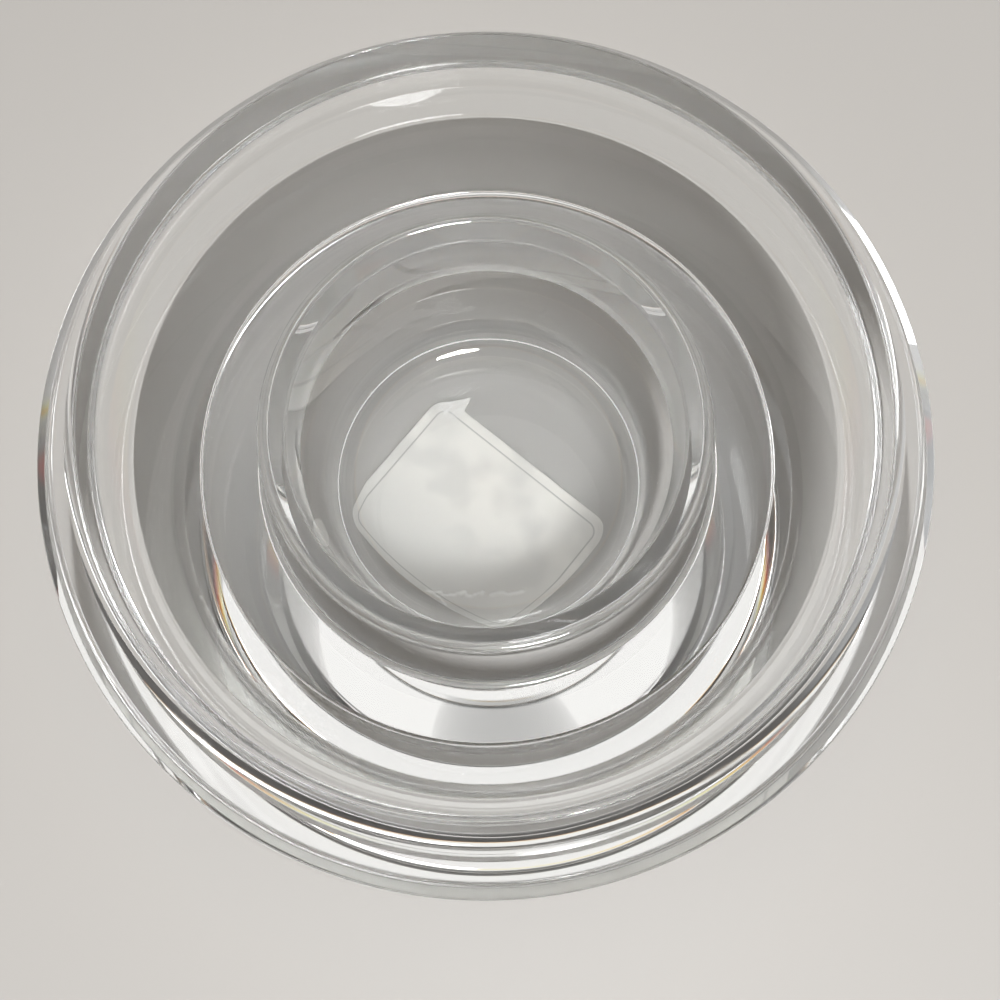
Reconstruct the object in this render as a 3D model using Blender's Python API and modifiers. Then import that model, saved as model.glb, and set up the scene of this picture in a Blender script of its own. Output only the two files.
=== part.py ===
"""Votive candle holder in clear crystal, modelled at its real size.

Units are metres and +Z is up. The origin is at the centre of the foot, on the surface that the
holder stands on. The holder is one turned piece of glass: a deep well for the candle stands in the
middle of a wide bowl, and a ring-shaped trough lies open between the two. A thin label sits in the
shallow recess that is ground into the foot, so that glass touches the table and paper does not.
"""
import math

import bpy
from mathutils import Vector

# Candle well, from the table upward
BASE_THICKNESS = 0.0122
WELL_DEPTH = 0.0320
WELL_MOUTH_DIAMETER = 0.0512
WELL_TAPER = 0.0010
WELL_FLOOR_ROUND = 0.0055
LIP_WIDTH = 0.0032
LIP_SLOPE = 0.0026
LIP_ROUND = 0.0011

# Trough between the well and the rim
CUP_FLARE = 0.0032
TROUGH_DEPTH = 0.0172
TROUGH_INNER_ROUND = 0.0008
TROUGH_OUTER_ROUND = 0.0009
TROUGH_EDGE_RISE = 0.0018
LEDGE_RISE = 0.0094
LEDGE_RUN = 0.0061
LEDGE_ROUND = 0.0011

# Rim and outside of the bowl
OVERALL_DIAMETER = 0.1144
RIM_RISE = 0.0109
RIM_INSET = 0.0103
RIM_DRAFT = 0.0007
CREST_WIDTH = 0.0005
CREST_DROP = 0.0009
CREST_INNER_ROUND = 0.0004
CREST_OUTER_ROUND = 0.0012
SHOULDER_INSET = 0.0025
SHOULDER_DROP = 0.0108
SHOULDER_ROUND = 0.0012
GIRDLE_DROP = 0.0134
GIRDLE_TOP_ROUND = 0.0014
GIRDLE_WIDTH = 0.0028
GIRDLE_FOOT_ROUND = 0.0040
BELLY_INSET = 0.0048
BELLY_DROP = 0.0060
BELLY_ROUND = 0.0100
FLANK_INSET = 0.0120
FLANK_HEIGHT = 0.0130
FLANK_ROUND = 0.0090
FOOT_LAND_WIDTH = 0.0042
FOOT_EDGE_ROUND = 0.0012

# Label under the foot, and the recess that clears it
LABEL_LENGTH = 0.0365
LABEL_WIDTH = 0.0285
LABEL_THICKNESS = 0.00022
LABEL_CORNER_ROUND = 0.0035
LABEL_OFFSET = Vector((-0.0028, -0.0062))
LABEL_TURN = math.radians(-39.2)
LABEL_GAP = 0.0003
RECESS_CLEARANCE = 0.0020
RECESS_DEPTH = 0.0009

# Smoothness of the turned glass
TURN_STEPS = 64
ARC_STEP = math.radians(18)
ARC_SHARE = 0.48
SHARP_ANGLE = math.radians(38)
AXIS_MERGE = 0.00001


def clear_scene():
    """Remove every object that the open file holds."""
    for item in list(bpy.data.objects):
        bpy.data.objects.remove(item, do_unlink=True)


def new_collection(name):
    """Make an empty collection in the scene."""
    collection = bpy.data.collections.new(name)
    bpy.context.scene.collection.children.link(collection)
    return collection


def corner_arc(before, corner, after, radius):
    """Return the points that round one corner of a flat outline.

    The arc touches both neighbouring edges. Where the edges are too short for the radius, the arc
    shrinks to the share of the shorter edge that ARC_SHARE allows, so two arcs never cross.
    """
    toward_before = (before - corner).normalized()
    toward_after = (after - corner).normalized()
    turn = math.pi - toward_before.angle(toward_after)
    if radius == 0.0:
        return [corner]
    shorter = min((before - corner).length, (after - corner).length)
    reach = min(radius * math.tan(turn / 2), ARC_SHARE * shorter)
    radius = reach / math.tan(turn / 2)
    centre = corner + (toward_before + toward_after).normalized() * math.hypot(radius, reach)
    arm = corner + toward_before * reach - centre
    left_turn = toward_before.x * toward_after.y - toward_before.y * toward_after.x < 0
    sweep = turn if left_turn else -turn
    steps = max(2, math.ceil(turn / ARC_STEP))
    points = []
    for index in range(steps + 1):
        angle = sweep * index / steps
        across = arm.x * math.cos(angle) - arm.y * math.sin(angle)
        along = arm.x * math.sin(angle) + arm.y * math.cos(angle)
        points.append(centre + Vector((across, along)))
    return points


def glass_corners():
    """Return the corners of the glass section as (radius from the axis, height, rounding).

    They run from the middle of the well floor up the well, over the lip, through the trough, over
    the rim and down the outside to the recess under the foot.
    """
    well_floor = BASE_THICKNESS
    lip = well_floor + WELL_DEPTH
    rim = lip + RIM_RISE
    trough_floor = lip - TROUGH_DEPTH
    mouth = WELL_MOUTH_DIAMETER / 2
    lip_outside = mouth + LIP_WIDTH
    outside = OVERALL_DIAMETER / 2
    rim_inside = outside - RIM_INSET
    girdle_top = rim - GIRDLE_DROP
    girdle_foot = girdle_top - GIRDLE_WIDTH
    ledge = rim_inside - RIM_DRAFT
    trough_outside = ledge - LEDGE_RUN
    trough_edge = trough_floor + TROUGH_EDGE_RISE
    recess = recess_radius()
    return [
        (0.0, well_floor, 0.0),
        (mouth - WELL_TAPER, well_floor, WELL_FLOOR_ROUND),
        (mouth, lip - LIP_SLOPE, LIP_ROUND),
        (lip_outside, lip, LIP_ROUND),
        (lip_outside + CUP_FLARE, trough_floor, TROUGH_INNER_ROUND),
        (trough_outside, trough_edge, TROUGH_OUTER_ROUND),
        (ledge, trough_edge + LEDGE_RISE, LEDGE_ROUND),
        (rim_inside, rim, CREST_INNER_ROUND),
        (rim_inside + CREST_WIDTH, rim - CREST_DROP, CREST_OUTER_ROUND),
        (outside - SHOULDER_INSET, rim - SHOULDER_DROP, SHOULDER_ROUND),
        (outside, girdle_top, GIRDLE_TOP_ROUND),
        (outside, girdle_foot, GIRDLE_FOOT_ROUND),
        (outside - BELLY_INSET, girdle_foot - BELLY_DROP, BELLY_ROUND),
        (outside - FLANK_INSET, FLANK_HEIGHT, FLANK_ROUND),
        (recess + FOOT_LAND_WIDTH, 0.0, FOOT_EDGE_ROUND),
        (recess, 0.0, 0.0),
        (recess, RECESS_DEPTH, 0.0),
        (0.0, RECESS_DEPTH, 0.0),
    ]


def recess_radius():
    """Return the radius of the recess that clears the label's farthest corner."""
    farthest = max((label_point(x, y)).length for x, y in label_corners())
    rounding_cut = LABEL_CORNER_ROUND * (math.sqrt(2) - 1)
    return farthest - rounding_cut + RECESS_CLEARANCE


def label_corners():
    """Return the label's four corners before it is turned and placed."""
    half_length = LABEL_LENGTH / 2
    half_width = LABEL_WIDTH / 2
    return [
        (-half_length, -half_width),
        (half_length, -half_width),
        (half_length, half_width),
        (-half_length, half_width),
    ]


def label_point(x, y):
    """Return where a point of the flat label lands under the foot."""
    turned_x = x * math.cos(LABEL_TURN) - y * math.sin(LABEL_TURN)
    turned_y = x * math.sin(LABEL_TURN) + y * math.cos(LABEL_TURN)
    return LABEL_OFFSET + Vector((turned_x, turned_y))


def glass_section():
    """Return the outline of the glass section with its corners rounded."""
    corners = glass_corners()
    outline = [Vector(corners[0][:2])]
    for before, here, after in zip(corners, corners[1:], corners[2:]):
        outline += corner_arc(Vector(before[:2]), Vector(here[:2]), Vector(after[:2]), here[2])
    outline.append(Vector(corners[-1][:2]))
    return outline


def build_glass(collection):
    """Turn the section about the vertical axis into the glass."""
    outline = glass_section()
    edges = [(index, index + 1) for index in range(len(outline) - 1)]
    mesh = bpy.data.meshes.new("glass_body")
    mesh.from_pydata([(point.x, 0.0, point.y) for point in outline], edges, [])
    glass = bpy.data.objects.new("glass_body", mesh)
    collection.objects.link(glass)
    screw = glass.modifiers.new("Turned", "SCREW")
    screw.axis = "Z"
    screw.steps = TURN_STEPS
    screw.render_steps = TURN_STEPS
    screw.use_merge_vertices = True
    screw.merge_threshold = AXIS_MERGE
    screw.use_smooth_shade = True
    return glass


def build_label(collection):
    """Make the label as a filled flat curve that is as thick as paper."""
    corners = [Vector(corner) for corner in label_corners()]
    outline = []
    for index, corner in enumerate(corners):
        after = corners[(index + 1) % len(corners)]
        outline += corner_arc(corners[index - 1], corner, after, LABEL_CORNER_ROUND)
    curve = bpy.data.curves.new("base_label", "CURVE")
    curve.dimensions = "2D"
    curve.fill_mode = "BOTH"
    curve.extrude = LABEL_THICKNESS / 2
    spline = curve.splines.new("POLY")
    spline.points.add(len(outline) - 1)
    for point, place in zip(spline.points, outline):
        point.co = (place.x, place.y, 0.0, 1.0)
    spline.use_cyclic_u = True
    label = bpy.data.objects.new("base_label", curve)
    collection.objects.link(label)
    middle = RECESS_DEPTH - LABEL_GAP - LABEL_THICKNESS / 2
    label.location = (LABEL_OFFSET.x, LABEL_OFFSET.y, middle)
    label.rotation_euler = (0.0, 0.0, LABEL_TURN)
    return label


def glass_material():
    """Make the clear, colourless crystal."""
    material = bpy.data.materials.new("clear_crystal")
    material.use_nodes = True
    shader = material.node_tree.nodes["Principled BSDF"]
    shader.inputs["Base Color"].default_value = (0.94, 0.96, 0.96, 1.0)
    shader.inputs["Roughness"].default_value = 0.02
    shader.inputs["Metallic"].default_value = 0.0
    shader.inputs["IOR"].default_value = 1.52
    shader.inputs["Transmission Weight"].default_value = 1.0
    return material


def label_material():
    """Make the pale paper of the label."""
    material = bpy.data.materials.new("label_paper")
    material.use_nodes = True
    shader = material.node_tree.nodes["Principled BSDF"]
    shader.inputs["Base Color"].default_value = (0.80, 0.79, 0.76, 1.0)
    shader.inputs["Roughness"].default_value = 0.70
    shader.inputs["Metallic"].default_value = 0.0
    return material


def shade_smooth(item, angle):
    """Smooth the round surfaces of a piece and keep the edges sharper than the angle."""
    bpy.ops.object.select_all(action="DESELECT")
    item.select_set(True)
    bpy.context.view_layer.objects.active = item
    bpy.ops.object.convert(target="MESH")
    bpy.ops.object.shade_smooth()
    item.data.set_sharp_from_angle(angle=angle)


def main():
    clear_scene()
    collection = new_collection("votive_candle_holder")
    glass = build_glass(collection)
    glass.data.materials.append(glass_material())
    shade_smooth(glass, SHARP_ANGLE)
    label = build_label(collection)
    label.data.materials.append(label_material())


main()
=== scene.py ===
# %% [markdown]
# # A crystal votive candle holder
# This lesson dresses a small holder of clear crystal: one heavy turned piece of glass with a deep
# candle well, an open trough around the well and a paper label under the foot. The CAD model is
# loaded first. It gives every size, and each piece made here lies in the same frame, in metres.

# %% Load the CAD frame
import math

import bpy
from mathutils import Matrix, Vector, noise


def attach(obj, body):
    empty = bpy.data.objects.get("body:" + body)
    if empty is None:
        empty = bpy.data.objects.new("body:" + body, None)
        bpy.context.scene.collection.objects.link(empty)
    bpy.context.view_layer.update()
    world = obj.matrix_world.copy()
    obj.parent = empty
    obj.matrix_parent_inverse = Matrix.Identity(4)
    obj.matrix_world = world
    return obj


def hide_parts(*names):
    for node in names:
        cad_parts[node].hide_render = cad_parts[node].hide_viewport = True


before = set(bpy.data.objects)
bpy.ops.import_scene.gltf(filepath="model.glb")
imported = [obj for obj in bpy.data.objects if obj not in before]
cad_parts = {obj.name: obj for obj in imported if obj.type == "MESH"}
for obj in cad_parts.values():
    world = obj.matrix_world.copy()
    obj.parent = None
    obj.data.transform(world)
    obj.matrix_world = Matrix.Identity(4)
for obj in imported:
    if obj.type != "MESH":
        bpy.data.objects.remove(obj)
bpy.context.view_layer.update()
MM = 0.001

# %% [markdown]
# ## The camera
# The photograph looks almost straight down into the well from about 16 cm above the table, so the
# perspective is strong: the rim is much nearer to the lens than the foot. The camera is placed at
# that height and tipped by the same small angle. Standard view transform keeps colours as written.
# Light that enters thick crystal is turned back many times before it leaves, and a path that is cut
# short shows as a black patch, so the numbers of bounces are raised here.

# %% Camera
CAMERA_PLACE = Vector((1.8, -34.9, 162.4)) * MM
CAMERA_TILT = math.radians(11.8)
FOCAL_SHARE = 0.981

scene = bpy.context.scene
scene.view_settings.view_transform = "Standard"
camera_data = bpy.data.cameras.new("camera")
camera_data.sensor_width = 36.0
camera_data.lens = FOCAL_SHARE * camera_data.sensor_width
camera_data.clip_start = 0.005
camera = bpy.data.objects.new("camera", camera_data)
camera.location = CAMERA_PLACE
camera.rotation_euler = (CAMERA_TILT, 0.0, 0.0)
scene.collection.objects.link(camera)
scene.camera = camera
scene.cycles.max_bounces = 24
scene.cycles.glossy_bounces = 24
scene.cycles.transmission_bounces = 24
print("camera lens in mm:", round(camera_data.lens, 2))

# %% [markdown]
# ## The glass section
# A turned shape is fully described by half of its section. Eighteen corners are enough, each with
# the radius of the arc that softens it. They start in the middle of the well floor, climb the well,
# cross the lip, dip into the trough, rise over the rim and run down the outside to the foot.
# The corners become a plain chain of edges, and a named attribute carries each corner's radius.

# %% Section of the crystal
BASE_THICKNESS = 12.2
WELL_DEPTH = 32.0
WELL_RADIUS = 25.6
LIP = BASE_THICKNESS + WELL_DEPTH
RIM = LIP + 10.9
TROUGH_FLOOR = LIP - 17.2
OUTSIDE = 57.2
RECESS_RADIUS = 29.42
RECESS_DEPTH = 0.9
FOOT_RADIUS = 33.62

CRYSTAL_CORNERS = [
    # radius from the axis, height, rounding of the corner, all in mm
    (0.0, BASE_THICKNESS, 0.0),
    (WELL_RADIUS - 1.0, BASE_THICKNESS, 5.5),
    (WELL_RADIUS, LIP - 2.6, 1.1),
    (WELL_RADIUS + 3.2, LIP, 1.1),
    (WELL_RADIUS + 6.4, TROUGH_FLOOR, 0.8),
    (OUTSIDE - 17.1, TROUGH_FLOOR + 1.8, 0.9),
    (OUTSIDE - 11.0, TROUGH_FLOOR + 11.2, 1.1),
    (OUTSIDE - 10.3, RIM, 0.2),
    (OUTSIDE - 9.8, RIM - 0.9, 0.7),
    (OUTSIDE - 2.5, RIM - 10.8, 1.2),
    (OUTSIDE, RIM - 13.4, 1.4),
    (OUTSIDE, RIM - 16.2, 4.0),
    (OUTSIDE - 4.8, RIM - 22.2, 10.0),
    (OUTSIDE - 12.0, 13.0, 9.0),
    (FOOT_RADIUS, 0.0, 1.2),
    (RECESS_RADIUS, 0.0, 0.3),
    (RECESS_RADIUS, RECESS_DEPTH, 0.3),
    (0.0, RECESS_DEPTH, 0.0),
]


def section_mesh(name, corners):
    """Make a chain of edges whose points carry the rounding of each corner."""
    chain = bpy.data.meshes.new(name)
    places = [(radius * MM, 0.0, height * MM) for radius, height, _ in corners]
    chain.from_pydata(places, [(i, i + 1) for i in range(len(places) - 1)], [])
    rounding = chain.attributes.new("rounding", "FLOAT", "POINT")
    for value, corner in zip(rounding.data, corners):
        value.value = corner[2] * MM
    return chain


crystal = bpy.data.objects.new("crystal_body", section_mesh("crystal_body", CRYSTAL_CORNERS))
scene.collection.objects.link(crystal)
print("section corners:", len(crystal.data.vertices))

# %% [markdown]
# ## Turning the section
# Geometry Nodes round the corners and turn the section about the axis. Fillet Curve reads the
# named attribute, so one node rounds every corner by its own amount. A grid with one row for each
# point of the section is then wrapped round the axis. Its seam and its two poles are merged.

# %% Geometry Nodes tree for turned glass
def node(tree, kind, **settings):
    """Add a node and set its properties."""
    made = tree.nodes.new(kind)
    for key, value in settings.items():
        setattr(made, key, value)
    return made


def math_node(tree, operation, first, second):
    """Add a Math node whose inputs are sockets or plain numbers."""
    made = node(tree, "ShaderNodeMath", operation=operation)
    for socket, value in zip(made.inputs, (first, second)):
        if isinstance(value, bpy.types.NodeSocket):
            tree.links.new(value, socket)
        else:
            socket.default_value = value
    return made.outputs[0]


def soft_step(tree, value, edge, softness):
    """Rise smoothly from 0 to 1 as the value passes the edge."""
    step = node(tree, "ShaderNodeMapRange", interpolation_type="SMOOTHSTEP")
    tree.links.new(value, step.inputs["Value"])
    step.inputs["From Min"].default_value = edge - softness
    step.inputs["From Max"].default_value = edge + softness
    return step.outputs["Result"]


def soft_band(tree, value, low, high, softness):
    """Return 1 between two edges and 0 outside them."""
    rise = soft_step(tree, value, low, softness)
    fall = soft_step(tree, value, high, softness)
    return math_node(tree, "SUBTRACT", rise, fall)


def turning_tree():
    """Build the tree that turns a section chain into a closed body."""
    tree = bpy.data.node_groups.new("turned_glass", "GeometryNodeTree")
    face = tree.interface
    face.new_socket("Geometry", in_out="INPUT", socket_type="NodeSocketGeometry")
    face.new_socket("Turn Steps", in_out="INPUT", socket_type="NodeSocketInt")
    face.new_socket("Arc Points", in_out="INPUT", socket_type="NodeSocketInt")
    face.new_socket("Merge Distance", in_out="INPUT", socket_type="NodeSocketFloat")
    face.new_socket("Material", in_out="INPUT", socket_type="NodeSocketMaterial")
    face.new_socket("Geometry", in_out="OUTPUT", socket_type="NodeSocketGeometry")
    link = tree.links.new
    start = node(tree, "NodeGroupInput")
    rounding = node(tree, "GeometryNodeInputNamedAttribute", data_type="FLOAT")
    rounding.inputs["Name"].default_value = "rounding"
    chain = node(tree, "GeometryNodeMeshToCurve")
    fillet = node(tree, "GeometryNodeFilletCurve", mode="POLY")
    fillet.inputs["Limit Radius"].default_value = True
    link(start.outputs["Geometry"], chain.inputs["Mesh"])
    link(chain.outputs["Curve"], fillet.inputs["Curve"])
    link(start.outputs["Arc Points"], fillet.inputs["Count"])
    link(rounding.outputs["Attribute"], fillet.inputs["Radius"])
    size = node(tree, "GeometryNodeAttributeDomainSize", component="CURVE")
    link(fillet.outputs["Curve"], size.inputs["Geometry"])
    rows = math_node(tree, "ADD", start.outputs["Turn Steps"], 1)
    grid = node(tree, "GeometryNodeMeshGrid")
    link(size.outputs["Point Count"], grid.inputs["Vertices X"])
    link(rows, grid.inputs["Vertices Y"])
    index = node(tree, "GeometryNodeInputIndex").outputs["Index"]
    along = math_node(tree, "FLOOR", math_node(tree, "DIVIDE", index, rows), 0.0)
    around = math_node(tree, "MODULO", index, rows)
    turn = math_node(tree, "DIVIDE", around, start.outputs["Turn Steps"])
    angle = math_node(tree, "MULTIPLY", turn, math.tau)
    sample = node(tree, "GeometryNodeSampleIndex", data_type="FLOAT_VECTOR", domain="POINT")
    place = node(tree, "GeometryNodeInputPosition")
    link(fillet.outputs["Curve"], sample.inputs["Geometry"])
    link(place.outputs["Position"], sample.inputs["Value"])
    link(along, sample.inputs["Index"])
    rotate = node(tree, "ShaderNodeVectorRotate", rotation_type="Z_AXIS")
    link(sample.outputs["Value"], rotate.inputs["Vector"])
    link(angle, rotate.inputs["Angle"])
    wrap = node(tree, "GeometryNodeSetPosition")
    link(grid.outputs["Mesh"], wrap.inputs["Geometry"])
    link(rotate.outputs["Vector"], wrap.inputs["Position"])
    merge = node(tree, "GeometryNodeMergeByDistance")
    link(wrap.outputs["Geometry"], merge.inputs["Geometry"])
    link(start.outputs["Merge Distance"], merge.inputs["Distance"])
    smooth = node(tree, "GeometryNodeSetShadeSmooth")
    link(merge.outputs["Geometry"], smooth.inputs["Geometry"])
    real = node(tree, "GeometryNodeRealizeInstances")
    link(smooth.outputs["Geometry"], real.inputs["Geometry"])
    paint = node(tree, "GeometryNodeSetMaterial")
    link(real.outputs["Geometry"], paint.inputs["Geometry"])
    link(start.outputs["Material"], paint.inputs["Material"])
    end = node(tree, "NodeGroupOutput")
    link(paint.outputs["Geometry"], end.inputs["Geometry"])
    return tree


turned_glass = turning_tree()
print("nodes in the turning tree:", len(turned_glass.nodes))

# %% [markdown]
# ## The crystal material
# Clear crystal bends light by an index of about 1.52. The polish is nearly perfect. What the eye
# reads as glass is what it shows of its surroundings, so the colour stays near white.

# %% Crystal
def principled(name):
    """Make a material and return it with its shader and node tree."""
    material = bpy.data.materials.new(name)
    material.use_nodes = True
    return material, material.node_tree.nodes["Principled BSDF"], material.node_tree


CRYSTAL_COLOUR = (0.975, 0.985, 0.985, 1.0)
CRYSTAL_INDEX = 1.52

crystal_material, crystal_shader, crystal_tree = principled("polished_crystal")
crystal_shader.inputs["Base Color"].default_value = CRYSTAL_COLOUR
crystal_shader.inputs["Roughness"].default_value = 0.0
crystal_shader.inputs["IOR"].default_value = CRYSTAL_INDEX
crystal_shader.inputs["Transmission Weight"].default_value = 1.0
print("crystal index:", round(crystal_shader.inputs["IOR"].default_value, 3))

# %% [markdown]
# ## Turning the crystal
# The chain of corners now gets the tree as a modifier. 256 steps round the axis and 14 points on each
# arc keep every ring smooth in close views. The result is taken as a plain mesh and the modifier is
# dropped, so the piece no longer depends on the tree.

# %% Turn the crystal
TURN_STEPS = 256
ARC_POINTS = 14
MERGE_DISTANCE = 0.004


def set_input(modifier, name, value):
    """Set a modifier input by the identifier of the socket with that name."""
    for item in modifier.node_group.interface.items_tree:
        if item.item_type == "SOCKET" and item.in_out == "INPUT" and item.name == name:
            modifier[item.identifier] = value


def settle(item):
    """Replace an object's mesh by what its modifiers make, and drop the modifiers."""
    graph = bpy.context.evaluated_depsgraph_get()
    made = bpy.data.meshes.new_from_object(item.evaluated_get(graph))
    item.modifiers.clear()
    item.data = made
    made.name = item.name


turning = crystal.modifiers.new("Turned", "NODES")
turning.node_group = turned_glass
set_input(turning, "Turn Steps", TURN_STEPS)
set_input(turning, "Arc Points", ARC_POINTS)
set_input(turning, "Merge Distance", MERGE_DISTANCE * MM)
set_input(turning, "Material", crystal_material)
settle(crystal)
crystal.data.polygons.foreach_set("use_smooth", [True] * len(crystal.data.polygons))
print("crystal faces:", len(crystal.data.polygons))
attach(crystal, "root")
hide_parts("glass_body")

# %% [markdown]
# ## Soft blotches
# Two finishes here vary in soft patches: the paper sticks to the glass better in some places than
# in others, and a polished surface that has been handled carries faint smears. One shader group
# makes such patches from noise, and each material sets its own scale, threshold and softness.

# %% Shared blotch group
def blotch_group():
    """Build a shader group that puts out a mask of soft patches."""
    tree = bpy.data.node_groups.new("soft_blotches", "ShaderNodeTree")
    face = tree.interface
    face.new_socket("Vector", in_out="INPUT", socket_type="NodeSocketVector")
    for name in ("Scale", "Detail", "Threshold", "Softness"):
        face.new_socket(name, in_out="INPUT", socket_type="NodeSocketFloat")
    face.new_socket("Mask", in_out="OUTPUT", socket_type="NodeSocketFloat")
    start = node(tree, "NodeGroupInput")
    end = node(tree, "NodeGroupOutput")
    cloud = node(tree, "ShaderNodeTexNoise")
    tree.links.new(start.outputs["Vector"], cloud.inputs["Vector"])
    tree.links.new(start.outputs["Scale"], cloud.inputs["Scale"])
    tree.links.new(start.outputs["Detail"], cloud.inputs["Detail"])
    low = math_node(tree, "SUBTRACT", start.outputs["Threshold"], start.outputs["Softness"])
    high = math_node(tree, "ADD", start.outputs["Threshold"], start.outputs["Softness"])
    step = node(tree, "ShaderNodeMapRange", interpolation_type="SMOOTHSTEP")
    tree.links.new(cloud.outputs["Fac"], step.inputs["Value"])
    tree.links.new(low, step.inputs["From Min"])
    tree.links.new(high, step.inputs["From Max"])
    tree.links.new(step.outputs["Result"], end.inputs["Mask"])
    return tree


soft_blotches = blotch_group()


def blotches(tree, vector, **values):
    """Place the blotch group in a material and return its mask."""
    made = node(tree, "ShaderNodeGroup", node_tree=soft_blotches)
    tree.links.new(vector, made.inputs["Vector"])
    for key, value in values.items():
        made.inputs[key].default_value = value
    return made.outputs["Mask"]


print("blotch group inputs:", [item.name for item in soft_blotches.interface.items_tree])

# %% [markdown]
# ## Smears on the polish
# A finger leaves a film that is a little rougher than the polish under it. The mask only raises the
# roughness by a hair, so that reflections stay crisp and lose a little of their shine in patches.
# A very shallow bump gives the slow waves that fire polishing leaves in heavy glass.

# %% Finish of the crystal
SMEAR_ROUGHNESS = 0.035
WAVE_DEPTH = 0.02


def mix_value(tree, low, high, mask):
    """Blend two numbers by a mask."""
    made = node(tree, "ShaderNodeMapRange")
    tree.links.new(mask, made.inputs["Value"])
    made.inputs["To Min"].default_value = low
    made.inputs["To Max"].default_value = high
    return made.outputs["Result"]


crystal_place = node(crystal_tree, "ShaderNodeTexCoord").outputs["Object"]
smears = blotches(crystal_tree, crystal_place, Scale=55.0, Detail=3.0, Threshold=0.62, Softness=0.07)
crystal_tree.links.new(mix_value(crystal_tree, 0.0, SMEAR_ROUGHNESS, smears), crystal_shader.inputs["Roughness"])
waves = blotches(crystal_tree, crystal_place, Scale=38.0, Detail=0.0, Threshold=0.5, Softness=0.5)
polish = node(crystal_tree, "ShaderNodeBump")
polish.inputs["Strength"].default_value = 1.0
polish.inputs["Distance"].default_value = WAVE_DEPTH * MM
crystal_tree.links.new(waves, polish.inputs["Height"])
crystal_tree.links.new(polish.outputs["Normal"], crystal_shader.inputs["Normal"])
print("crystal nodes:", len(crystal_tree.nodes))

# %% [markdown]
# ## The label
# The label is a thin rounded rectangle of coated paper. It is a flat grid first. The grid's corner
# squares are drawn in to quarter discs, which keeps the outline smooth, and Solidify gives the
# sheet its thickness. Low noise lifts it in soft patches where the paper has let go of the glass.
# The place of each point on the flat sheet is kept as an attribute, for what is printed on it.

# %% Label outline
LABEL_LENGTH = 36.5
LABEL_WIDTH = 28.5
LABEL_CORNER = 3.5
LABEL_THICKNESS = 0.12
LABEL_MIDDLE = Vector((-2.8, -6.2))
LABEL_TURN = math.radians(-39.2)


def rounded_place(x, y):
    """Draw a point of the full rectangle in so that the rectangle's corners become round."""
    across = abs(x) - (LABEL_LENGTH / 2 - LABEL_CORNER)
    along = abs(y) - (LABEL_WIDTH / 2 - LABEL_CORNER)
    if across <= 0 or along <= 0:
        return x, y
    shrink = max(across, along) / math.hypot(across, along)
    new_x = math.copysign(abs(x) - across + across * shrink, x)
    new_y = math.copysign(abs(y) - along + along * shrink, y)
    return new_x, new_y


bpy.ops.mesh.primitive_grid_add(x_subdivisions=219, y_subdivisions=171, size=1.0)
label = bpy.context.object
label.name = "paper_label"
label.data.name = "paper_label"
flat_places = [
    rounded_place(vertex.co.x * LABEL_LENGTH, vertex.co.y * LABEL_WIDTH)
    for vertex in label.data.vertices
]
print("label points:", len(flat_places))

# %% [markdown]
# ## Creases and a crumpled corner
# The paper was wetted and rubbed: creases run across its near end, and beside the far corner
# the edge is crumpled and torn out into a small flap. Each crease is a chain of points with a low
# ridge along it. Its height is also kept as an attribute that paints the creases and the crumpled
# corner whiter, partly as the white fibres of folded paper and partly as painted highlight on the ridges.

# %% Creases
CREASE_WIDTH = 0.42
CREASE_LIFT = 0.13
CREASE_RAG = 0.25
RAG_SCALE = 1.9
CREASES = [
    [(1.4, -13.4), (3.2, -11.6), (3.8, -11.9), (5.2, -10.3), (6.1, -9.1), (7.0, -9.3), (8.4, -7.4)],
    [(9.6, -6.9), (10.9, -5.2), (11.8, -5.0), (13.2, -3.1)],
    [(1.5, -13.2), (3.6, -12.9), (5.4, -13.8)],
]
CRUMPLE_MIDDLE = Vector((-15.6, 13.6))
CRUMPLE_REACH = 2.9
CRUMPLE_SCALE = 0.9
CRUMPLE_SHARPNESS = 5.0
FLAP_MIDDLE = -14.9
FLAP_REACH = 1.5
FLAP_LENGTH = 2.6
FLAP_DEPTH = 1.6
FLAP_LEAN = 0.35


def distance_to_chain(point, chain):
    """Return how far a point lies from a chain of straight pieces."""
    nearest = 1.0e9
    for first, last in zip(chain, chain[1:]):
        run = Vector(last) - Vector(first)
        share = max(0.0, min(1.0, (point - Vector(first)).dot(run) / run.length_squared))
        nearest = min(nearest, (point - Vector(first) - run * share).length)
    return nearest


def crease_at(x, y):
    """Return 1 on the line of a crease or fold and 0 away from it."""
    point = Vector((x, y))
    ragged = CREASE_RAG * noise.noise(Vector((x * RAG_SCALE, y * RAG_SCALE, 7.0)))
    nearest = min(distance_to_chain(point, chain) for chain in CREASES) + ragged
    line = max(0.0, 1.0 - abs(nearest) / CREASE_WIDTH)
    near_corner = max(0.0, 1.0 - (point - CRUMPLE_MIDDLE).length / CRUMPLE_REACH)
    cloud = noise.noise(Vector((x * CRUMPLE_SCALE, y * CRUMPLE_SCALE, 1.0)))
    folds = 1.0 - min(1.0, abs(cloud) * CRUMPLE_SHARPNESS)
    return max(line, min(1.0, near_corner * 2.5) * max(0.35, folds))


def torn_place(x, y):
    """Pull the edge beside the far corner out into the small torn flap."""
    beside = max(0.0, 1.0 - abs(x - FLAP_MIDDLE) / FLAP_REACH)
    near_edge = max(0.0, 1.0 - (LABEL_WIDTH / 2 - y) / FLAP_DEPTH)
    pull = FLAP_LENGTH * beside * near_edge
    return x + FLAP_LEAN * pull, y + pull


creases = [crease_at(x, y) for x, y in flat_places]
print("share of the label that is creased:", round(sum(creases) / len(creases), 4))

# %% [markdown]
# ## Shaping the sheet
# Each point of the grid is moved to its place under the foot. The sheet hangs a little below the
# glass, since glue is seldom even, and low noise bends it. Both attributes are stored before the
# sheet is turned to the angle at which it was stuck on.

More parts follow.
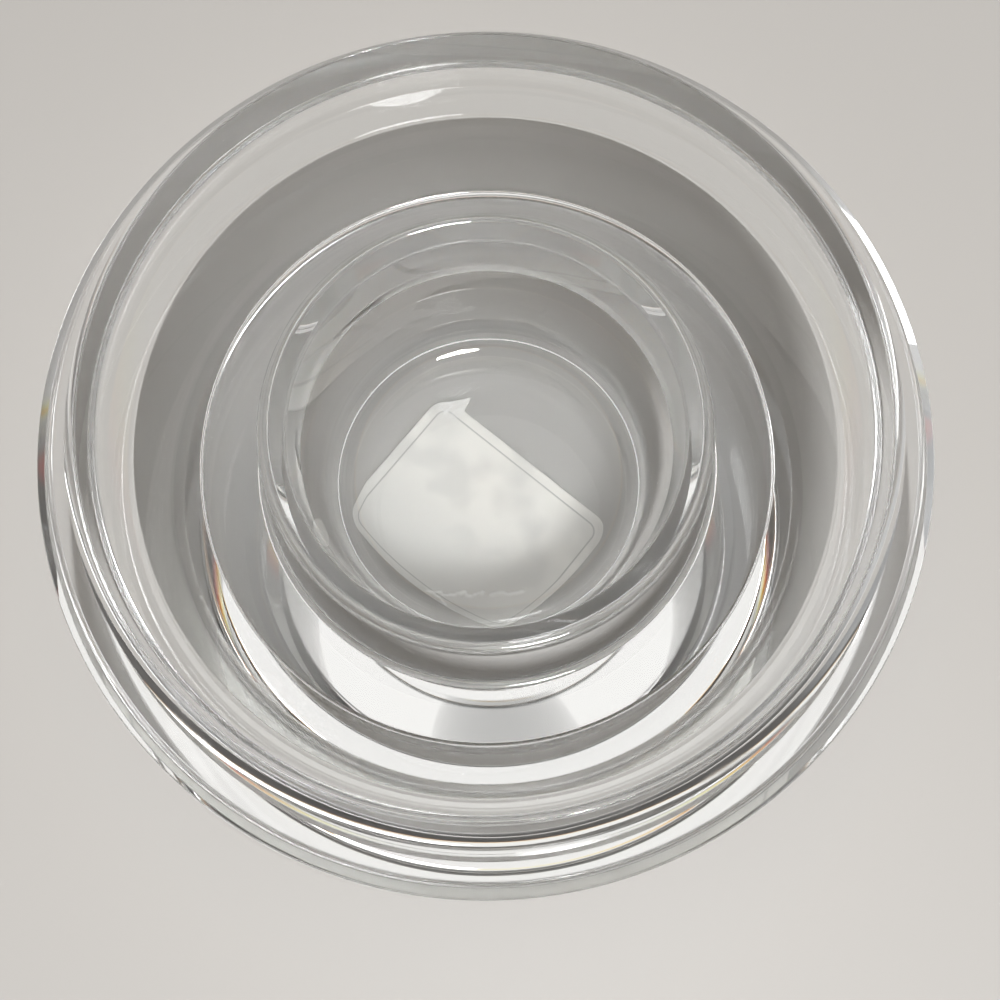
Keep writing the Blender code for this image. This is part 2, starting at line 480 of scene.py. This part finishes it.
# %% Shape the label
LABEL_TOP = RECESS_DEPTH - 0.24
BEND_SCALE = 0.16
BEND_HEIGHT = 0.05

label.data.attributes.new("sheet_place", "FLOAT_VECTOR", "POINT")
# This attribute paints the creases whiter: partly white fibres, partly painted highlight on the ridges.
label.data.attributes.new("crease_fibre_and_highlight", "FLOAT", "POINT")
sheet_place = label.data.attributes["sheet_place"]
crease_fibre_and_highlight = label.data.attributes["crease_fibre_and_highlight"]
for vertex, (x, y), crease in zip(label.data.vertices, flat_places, creases):
    lift = noise.noise(Vector((x * BEND_SCALE, y * BEND_SCALE, 3.0))) * BEND_HEIGHT
    vertex.co = (*torn_place(x, y), LABEL_TOP + lift + crease * CREASE_LIFT)
    sheet_place.data[vertex.index].vector = (x, y, 0.0)
    crease_fibre_and_highlight.data[vertex.index].value = crease
turned = Matrix.Rotation(LABEL_TURN, 4, "Z")
place = Matrix.Translation((LABEL_MIDDLE.x, LABEL_MIDDLE.y, 0.0)) @ turned
label.data.transform(Matrix.Scale(MM, 4) @ place)
sheet = label.modifiers.new("Paper", "SOLIDIFY")
sheet.thickness = LABEL_THICKNESS * MM
sheet.offset = -1.0
settle(label)
label.data.polygons.foreach_set("use_smooth", [True] * len(label.data.polygons))
print("label faces:", len(label.data.polygons))

# %% [markdown]
# ## Coated paper
# The paper is bare apart from one thin border line. The line is drawn by the distance from the
# sheet's rounded edge, which a few Math nodes work out from that attribute. Soft blotches make the
# sheet a little greyer where air has crept in. The sheet is also painted greyer towards its near
# end as painted shade, and the creases are painted whiter, partly as white fibres and partly as
# painted highlight on their ridges.

# %% Paper material
BORDER_INSET = 1.7
BORDER_WIDTH = 0.13
PAPER = (0.94, 0.925, 0.885, 1.0)
# This grey serves both the patches where air has crept in and the painted shade at the near end.
PAPER_AIR_GREY_AND_SHADE = (0.62, 0.62, 0.605, 1.0)
# The crease white is partly the paper's broken fibres and partly painted highlight.
PAPER_FIBRE_AND_HIGHLIGHT = (0.96, 0.96, 0.95, 1.0)
BORDER_GREY = (0.36, 0.36, 0.35, 1.0)
BORDER_SHARE = 0.6
AIR_SHARE = 0.45
NEAR_END_SHADE_SHARE = 0.65
NEAR_END_SHADE_START = 9.0

label_material, label_shader, label_tree = principled("coated_paper")


def mix_colour(tree, mask, first, second):
    """Blend two colours by a mask and return the result."""
    made = node(tree, "ShaderNodeMix", data_type="RGBA")
    for socket, value in ((made.inputs[0], mask), (made.inputs[6], first), (made.inputs[7], second)):
        if isinstance(value, bpy.types.NodeSocket):
            tree.links.new(value, socket)
        else:
            socket.default_value = value
    return made.outputs[2]


on_sheet = node(label_tree, "ShaderNodeAttribute", attribute_name="sheet_place").outputs["Vector"]
sides = node(label_tree, "ShaderNodeSeparateXYZ")
label_tree.links.new(on_sheet, sides.inputs[0])


def past_core(tree, value, half, corner):
    """Return how far a coordinate lies outside the straight core of the sheet."""
    size = math_node(tree, "ABSOLUTE", value, 0.0)
    return math_node(tree, "SUBTRACT", size, half - corner)


past_x = past_core(label_tree, sides.outputs["X"], LABEL_LENGTH / 2, LABEL_CORNER)
past_y = past_core(label_tree, sides.outputs["Y"], LABEL_WIDTH / 2, LABEL_CORNER)
round_x = math_node(label_tree, "POWER", math_node(label_tree, "MAXIMUM", past_x, 0.0), 2.0)
round_y = math_node(label_tree, "POWER", math_node(label_tree, "MAXIMUM", past_y, 0.0), 2.0)
round_part = math_node(label_tree, "SQRT", math_node(label_tree, "ADD", round_x, round_y), 0.0)
farther = math_node(label_tree, "MAXIMUM", past_x, past_y)
straight_part = math_node(label_tree, "MINIMUM", farther, 0.0)
from_edge = math_node(label_tree, "ADD", round_part, straight_part)
from_line = math_node(label_tree, "SUBTRACT", from_edge, LABEL_CORNER - BORDER_INSET)
border = soft_band(label_tree, from_line, -BORDER_WIDTH, BORDER_WIDTH, 0.05)
let_go = blotches(label_tree, on_sheet, Scale=0.13, Detail=1.6, Threshold=0.50, Softness=0.15)
# Painted shade: the sheet is painted greyer towards its near end.
shade_toward_end = node(label_tree, "ShaderNodeMapRange", interpolation_type="SMOOTHSTEP")
label_tree.links.new(sides.outputs["Y"], shade_toward_end.inputs["Value"])
shade_toward_end.inputs["From Min"].default_value = NEAR_END_SHADE_START
shade_toward_end.inputs["From Max"].default_value = -LABEL_WIDTH / 2
near_end_shade = math_node(label_tree, "MULTIPLY", shade_toward_end.outputs["Result"], NEAR_END_SHADE_SHARE)
air_grey_and_shade = math_node(label_tree, "MULTIPLY", let_go, AIR_SHARE)
air_grey_and_shade = math_node(label_tree, "MAXIMUM", air_grey_and_shade, near_end_shade)
paper = mix_colour(label_tree, air_grey_and_shade, PAPER, PAPER_AIR_GREY_AND_SHADE)
border = math_node(label_tree, "MULTIPLY", border, BORDER_SHARE)
paper = mix_colour(label_tree, border, paper, BORDER_GREY)
# Creases are painted whiter, partly as white fibres and partly as painted highlight on their ridges.
fibre_and_highlight = node(label_tree, "ShaderNodeAttribute", attribute_name="crease_fibre_and_highlight").outputs["Fac"]
paper = mix_colour(label_tree, fibre_and_highlight, paper, PAPER_FIBRE_AND_HIGHLIGHT)
label_tree.links.new(paper, label_shader.inputs["Base Color"])
label_shader.inputs["Roughness"].default_value = 0.55
label.data.materials.append(label_material)
print("paper nodes:", len(label_tree.nodes))
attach(label, "root")
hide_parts("base_label")

# %% [markdown]
# ## The floor
# The holder stands on a plain pale tabletop. Crystal shows whatever is around it, so the floor has
# no pattern of its own. A matt finish keeps the lamps from making bright patches on it. It lies a
# tenth of a millimetre below the foot: two surfaces in one plane would leave black rings in glass.

# %% Floor
FLOOR_GAP = 0.1
FLOOR_SIZE = 6.0
FLOOR_COLOUR = (0.49, 0.48, 0.465, 1.0)
FLOOR_ROUGHNESS = 0.6

bpy.ops.mesh.primitive_plane_add(size=FLOOR_SIZE, location=(0.0, 0.0, -FLOOR_GAP * MM))
floor = bpy.context.object
floor.name = "floor"
floor_material, floor_shader, _ = principled("pale_floor")
floor_shader.inputs["Base Color"].default_value = FLOOR_COLOUR
floor_shader.inputs["Roughness"].default_value = FLOOR_ROUGHNESS
floor.data.materials.append(floor_material)
print("floor size in m:", floor.dimensions.x)

# %% [markdown]
# ## A soft studio around the holder
# A clear object is drawn by the edges between bright and dark in its surroundings. A room that is
# equally bright all round makes glass look like fog. So the world is a room whose wall is pale near
# the floor and fades to dark above, where the glass takes its dark lines from, with a broad
# softbox overhead and a dim, soft window to the left. Real crystal parts white light into thin
# coloured lines at such edges. The renderer's glass has one index for all colours, so the softbox
# ends a little sooner in one colour than in the next. It is too high for a level view to see.

# %% Patches of light
ROOM_LOW = 0.36
ROOM_HIGH = 0.03
ROOM_TURN = 0.16
ROOM_COLOUR = (1.0, 0.985, 0.96)
SOFTBOX_EDGE = 0.866
SOFTBOX_LIGHT = 0.93
SOFTBOX_COLOUR = (1.0, 0.985, 0.96)
WINDOW_LEFT = math.radians(-135)
WINDOW_RIGHT = math.radians(-45)
WINDOW_FOOT = 0.20
WINDOW_TOP = 0.64
WINDOW_LIGHT = 0.55
WINDOW_COLOUR = (0.97, 0.99, 1.01)
WINDOW_SOFTNESS = 0.14
EDGE_SOFTNESS = 0.02
FRINGE = 0.016

world = bpy.data.worlds.new("soft_studio")
scene.world = world
world.use_nodes = True
sky_tree = world.node_tree
sky_shader = sky_tree.nodes["Background"]
direction = node(sky_tree, "ShaderNodeTexCoord").outputs["Generated"]
parts_of_direction = node(sky_tree, "ShaderNodeSeparateXYZ")
sky_tree.links.new(direction, parts_of_direction.inputs[0])
height = parts_of_direction.outputs["Z"]
bearing = math_node(
    sky_tree, "ARCTAN2", parts_of_direction.outputs["X"], parts_of_direction.outputs["Y"]
)

across = soft_band(sky_tree, bearing, WINDOW_LEFT, WINDOW_RIGHT, WINDOW_SOFTNESS)
upward = soft_band(sky_tree, height, WINDOW_FOOT, WINDOW_TOP, WINDOW_SOFTNESS)
window = math_node(sky_tree, "MULTIPLY", across, upward)
softbox = [
    soft_step(sky_tree, height, SOFTBOX_EDGE + shift, EDGE_SOFTNESS)
    for shift in (-FRINGE, 0.0, FRINGE)
]
print("masks of light:", 2 + len(softbox))

# %% [markdown]
# ## Adding the patches up
# Each patch is a mask times a level and a faint tint, added to the light so far. The low wall comes
# first, then the window and the softbox. Nothing here is brighter than white, so pale surfaces keep
# their colour.

# %% World light
def added_light(tree, so_far, masks, level, colour):
    """Add one patch of light, given as a mask for each colour, to the light so far."""
    joined = node(tree, "ShaderNodeCombineXYZ")
    for mask, socket in zip(masks, joined.inputs):
        tree.links.new(mask, socket)
    patch = node(tree, "ShaderNodeVectorMath", operation="MULTIPLY_ADD")
    tree.links.new(joined.outputs[0], patch.inputs[0])
    patch.inputs[1].default_value = [level * share for share in colour]
    if isinstance(so_far, bpy.types.NodeSocket):
        tree.links.new(so_far, patch.inputs[2])
    else:
        patch.inputs[2].default_value = so_far
    return patch.outputs[0]


low_wall = node(sky_tree, "ShaderNodeMapRange", interpolation_type="SMOOTHSTEP")
sky_tree.links.new(height, low_wall.inputs["Value"])
low_wall.inputs["From Min"].default_value = 2 * ROOM_TURN
low_wall.inputs["From Max"].default_value = 0.0
room = [ROOM_HIGH * share for share in ROOM_COLOUR]
wall = [low_wall.outputs["Result"]] * 3
sky_light = added_light(sky_tree, room, wall, ROOM_LOW - ROOM_HIGH, ROOM_COLOUR)
sky_light = added_light(sky_tree, sky_light, [window] * 3, WINDOW_LIGHT, WINDOW_COLOUR)
sky_light = added_light(sky_tree, sky_light, softbox, SOFTBOX_LIGHT, SOFTBOX_COLOUR)
sky_tree.links.new(sky_light, sky_shader.inputs["Color"])
print("world nodes:", len(sky_tree.nodes))

# %% [markdown]
# ## One round lamp
# The softbox alone gives a flat floor. A round lamp nearly overhead, a little to the camera's side,
# lays a soft shadow under the holder and behind it, in which the clear crystal stands out.

# %% Round lamp
LAMP_PLACE = Vector((0.13, -0.35, 1.0))
LAMP_SIZE = 0.20
LAMP_POWER = 10.5
LAMP_TARGET = Vector((0.0, 0.0, 0.03))

lamp_data = bpy.data.lights.new("round_lamp", "AREA")
lamp_data.shape = "DISK"
lamp_data.size = LAMP_SIZE
lamp_data.energy = LAMP_POWER
lamp = bpy.data.objects.new("round_lamp", lamp_data)
lamp.location = LAMP_PLACE
lamp.rotation_euler = (LAMP_TARGET - LAMP_PLACE).to_track_quat("-Z", "Y").to_euler()
scene.collection.objects.link(lamp)
print("lamp height in m:", LAMP_PLACE.z)
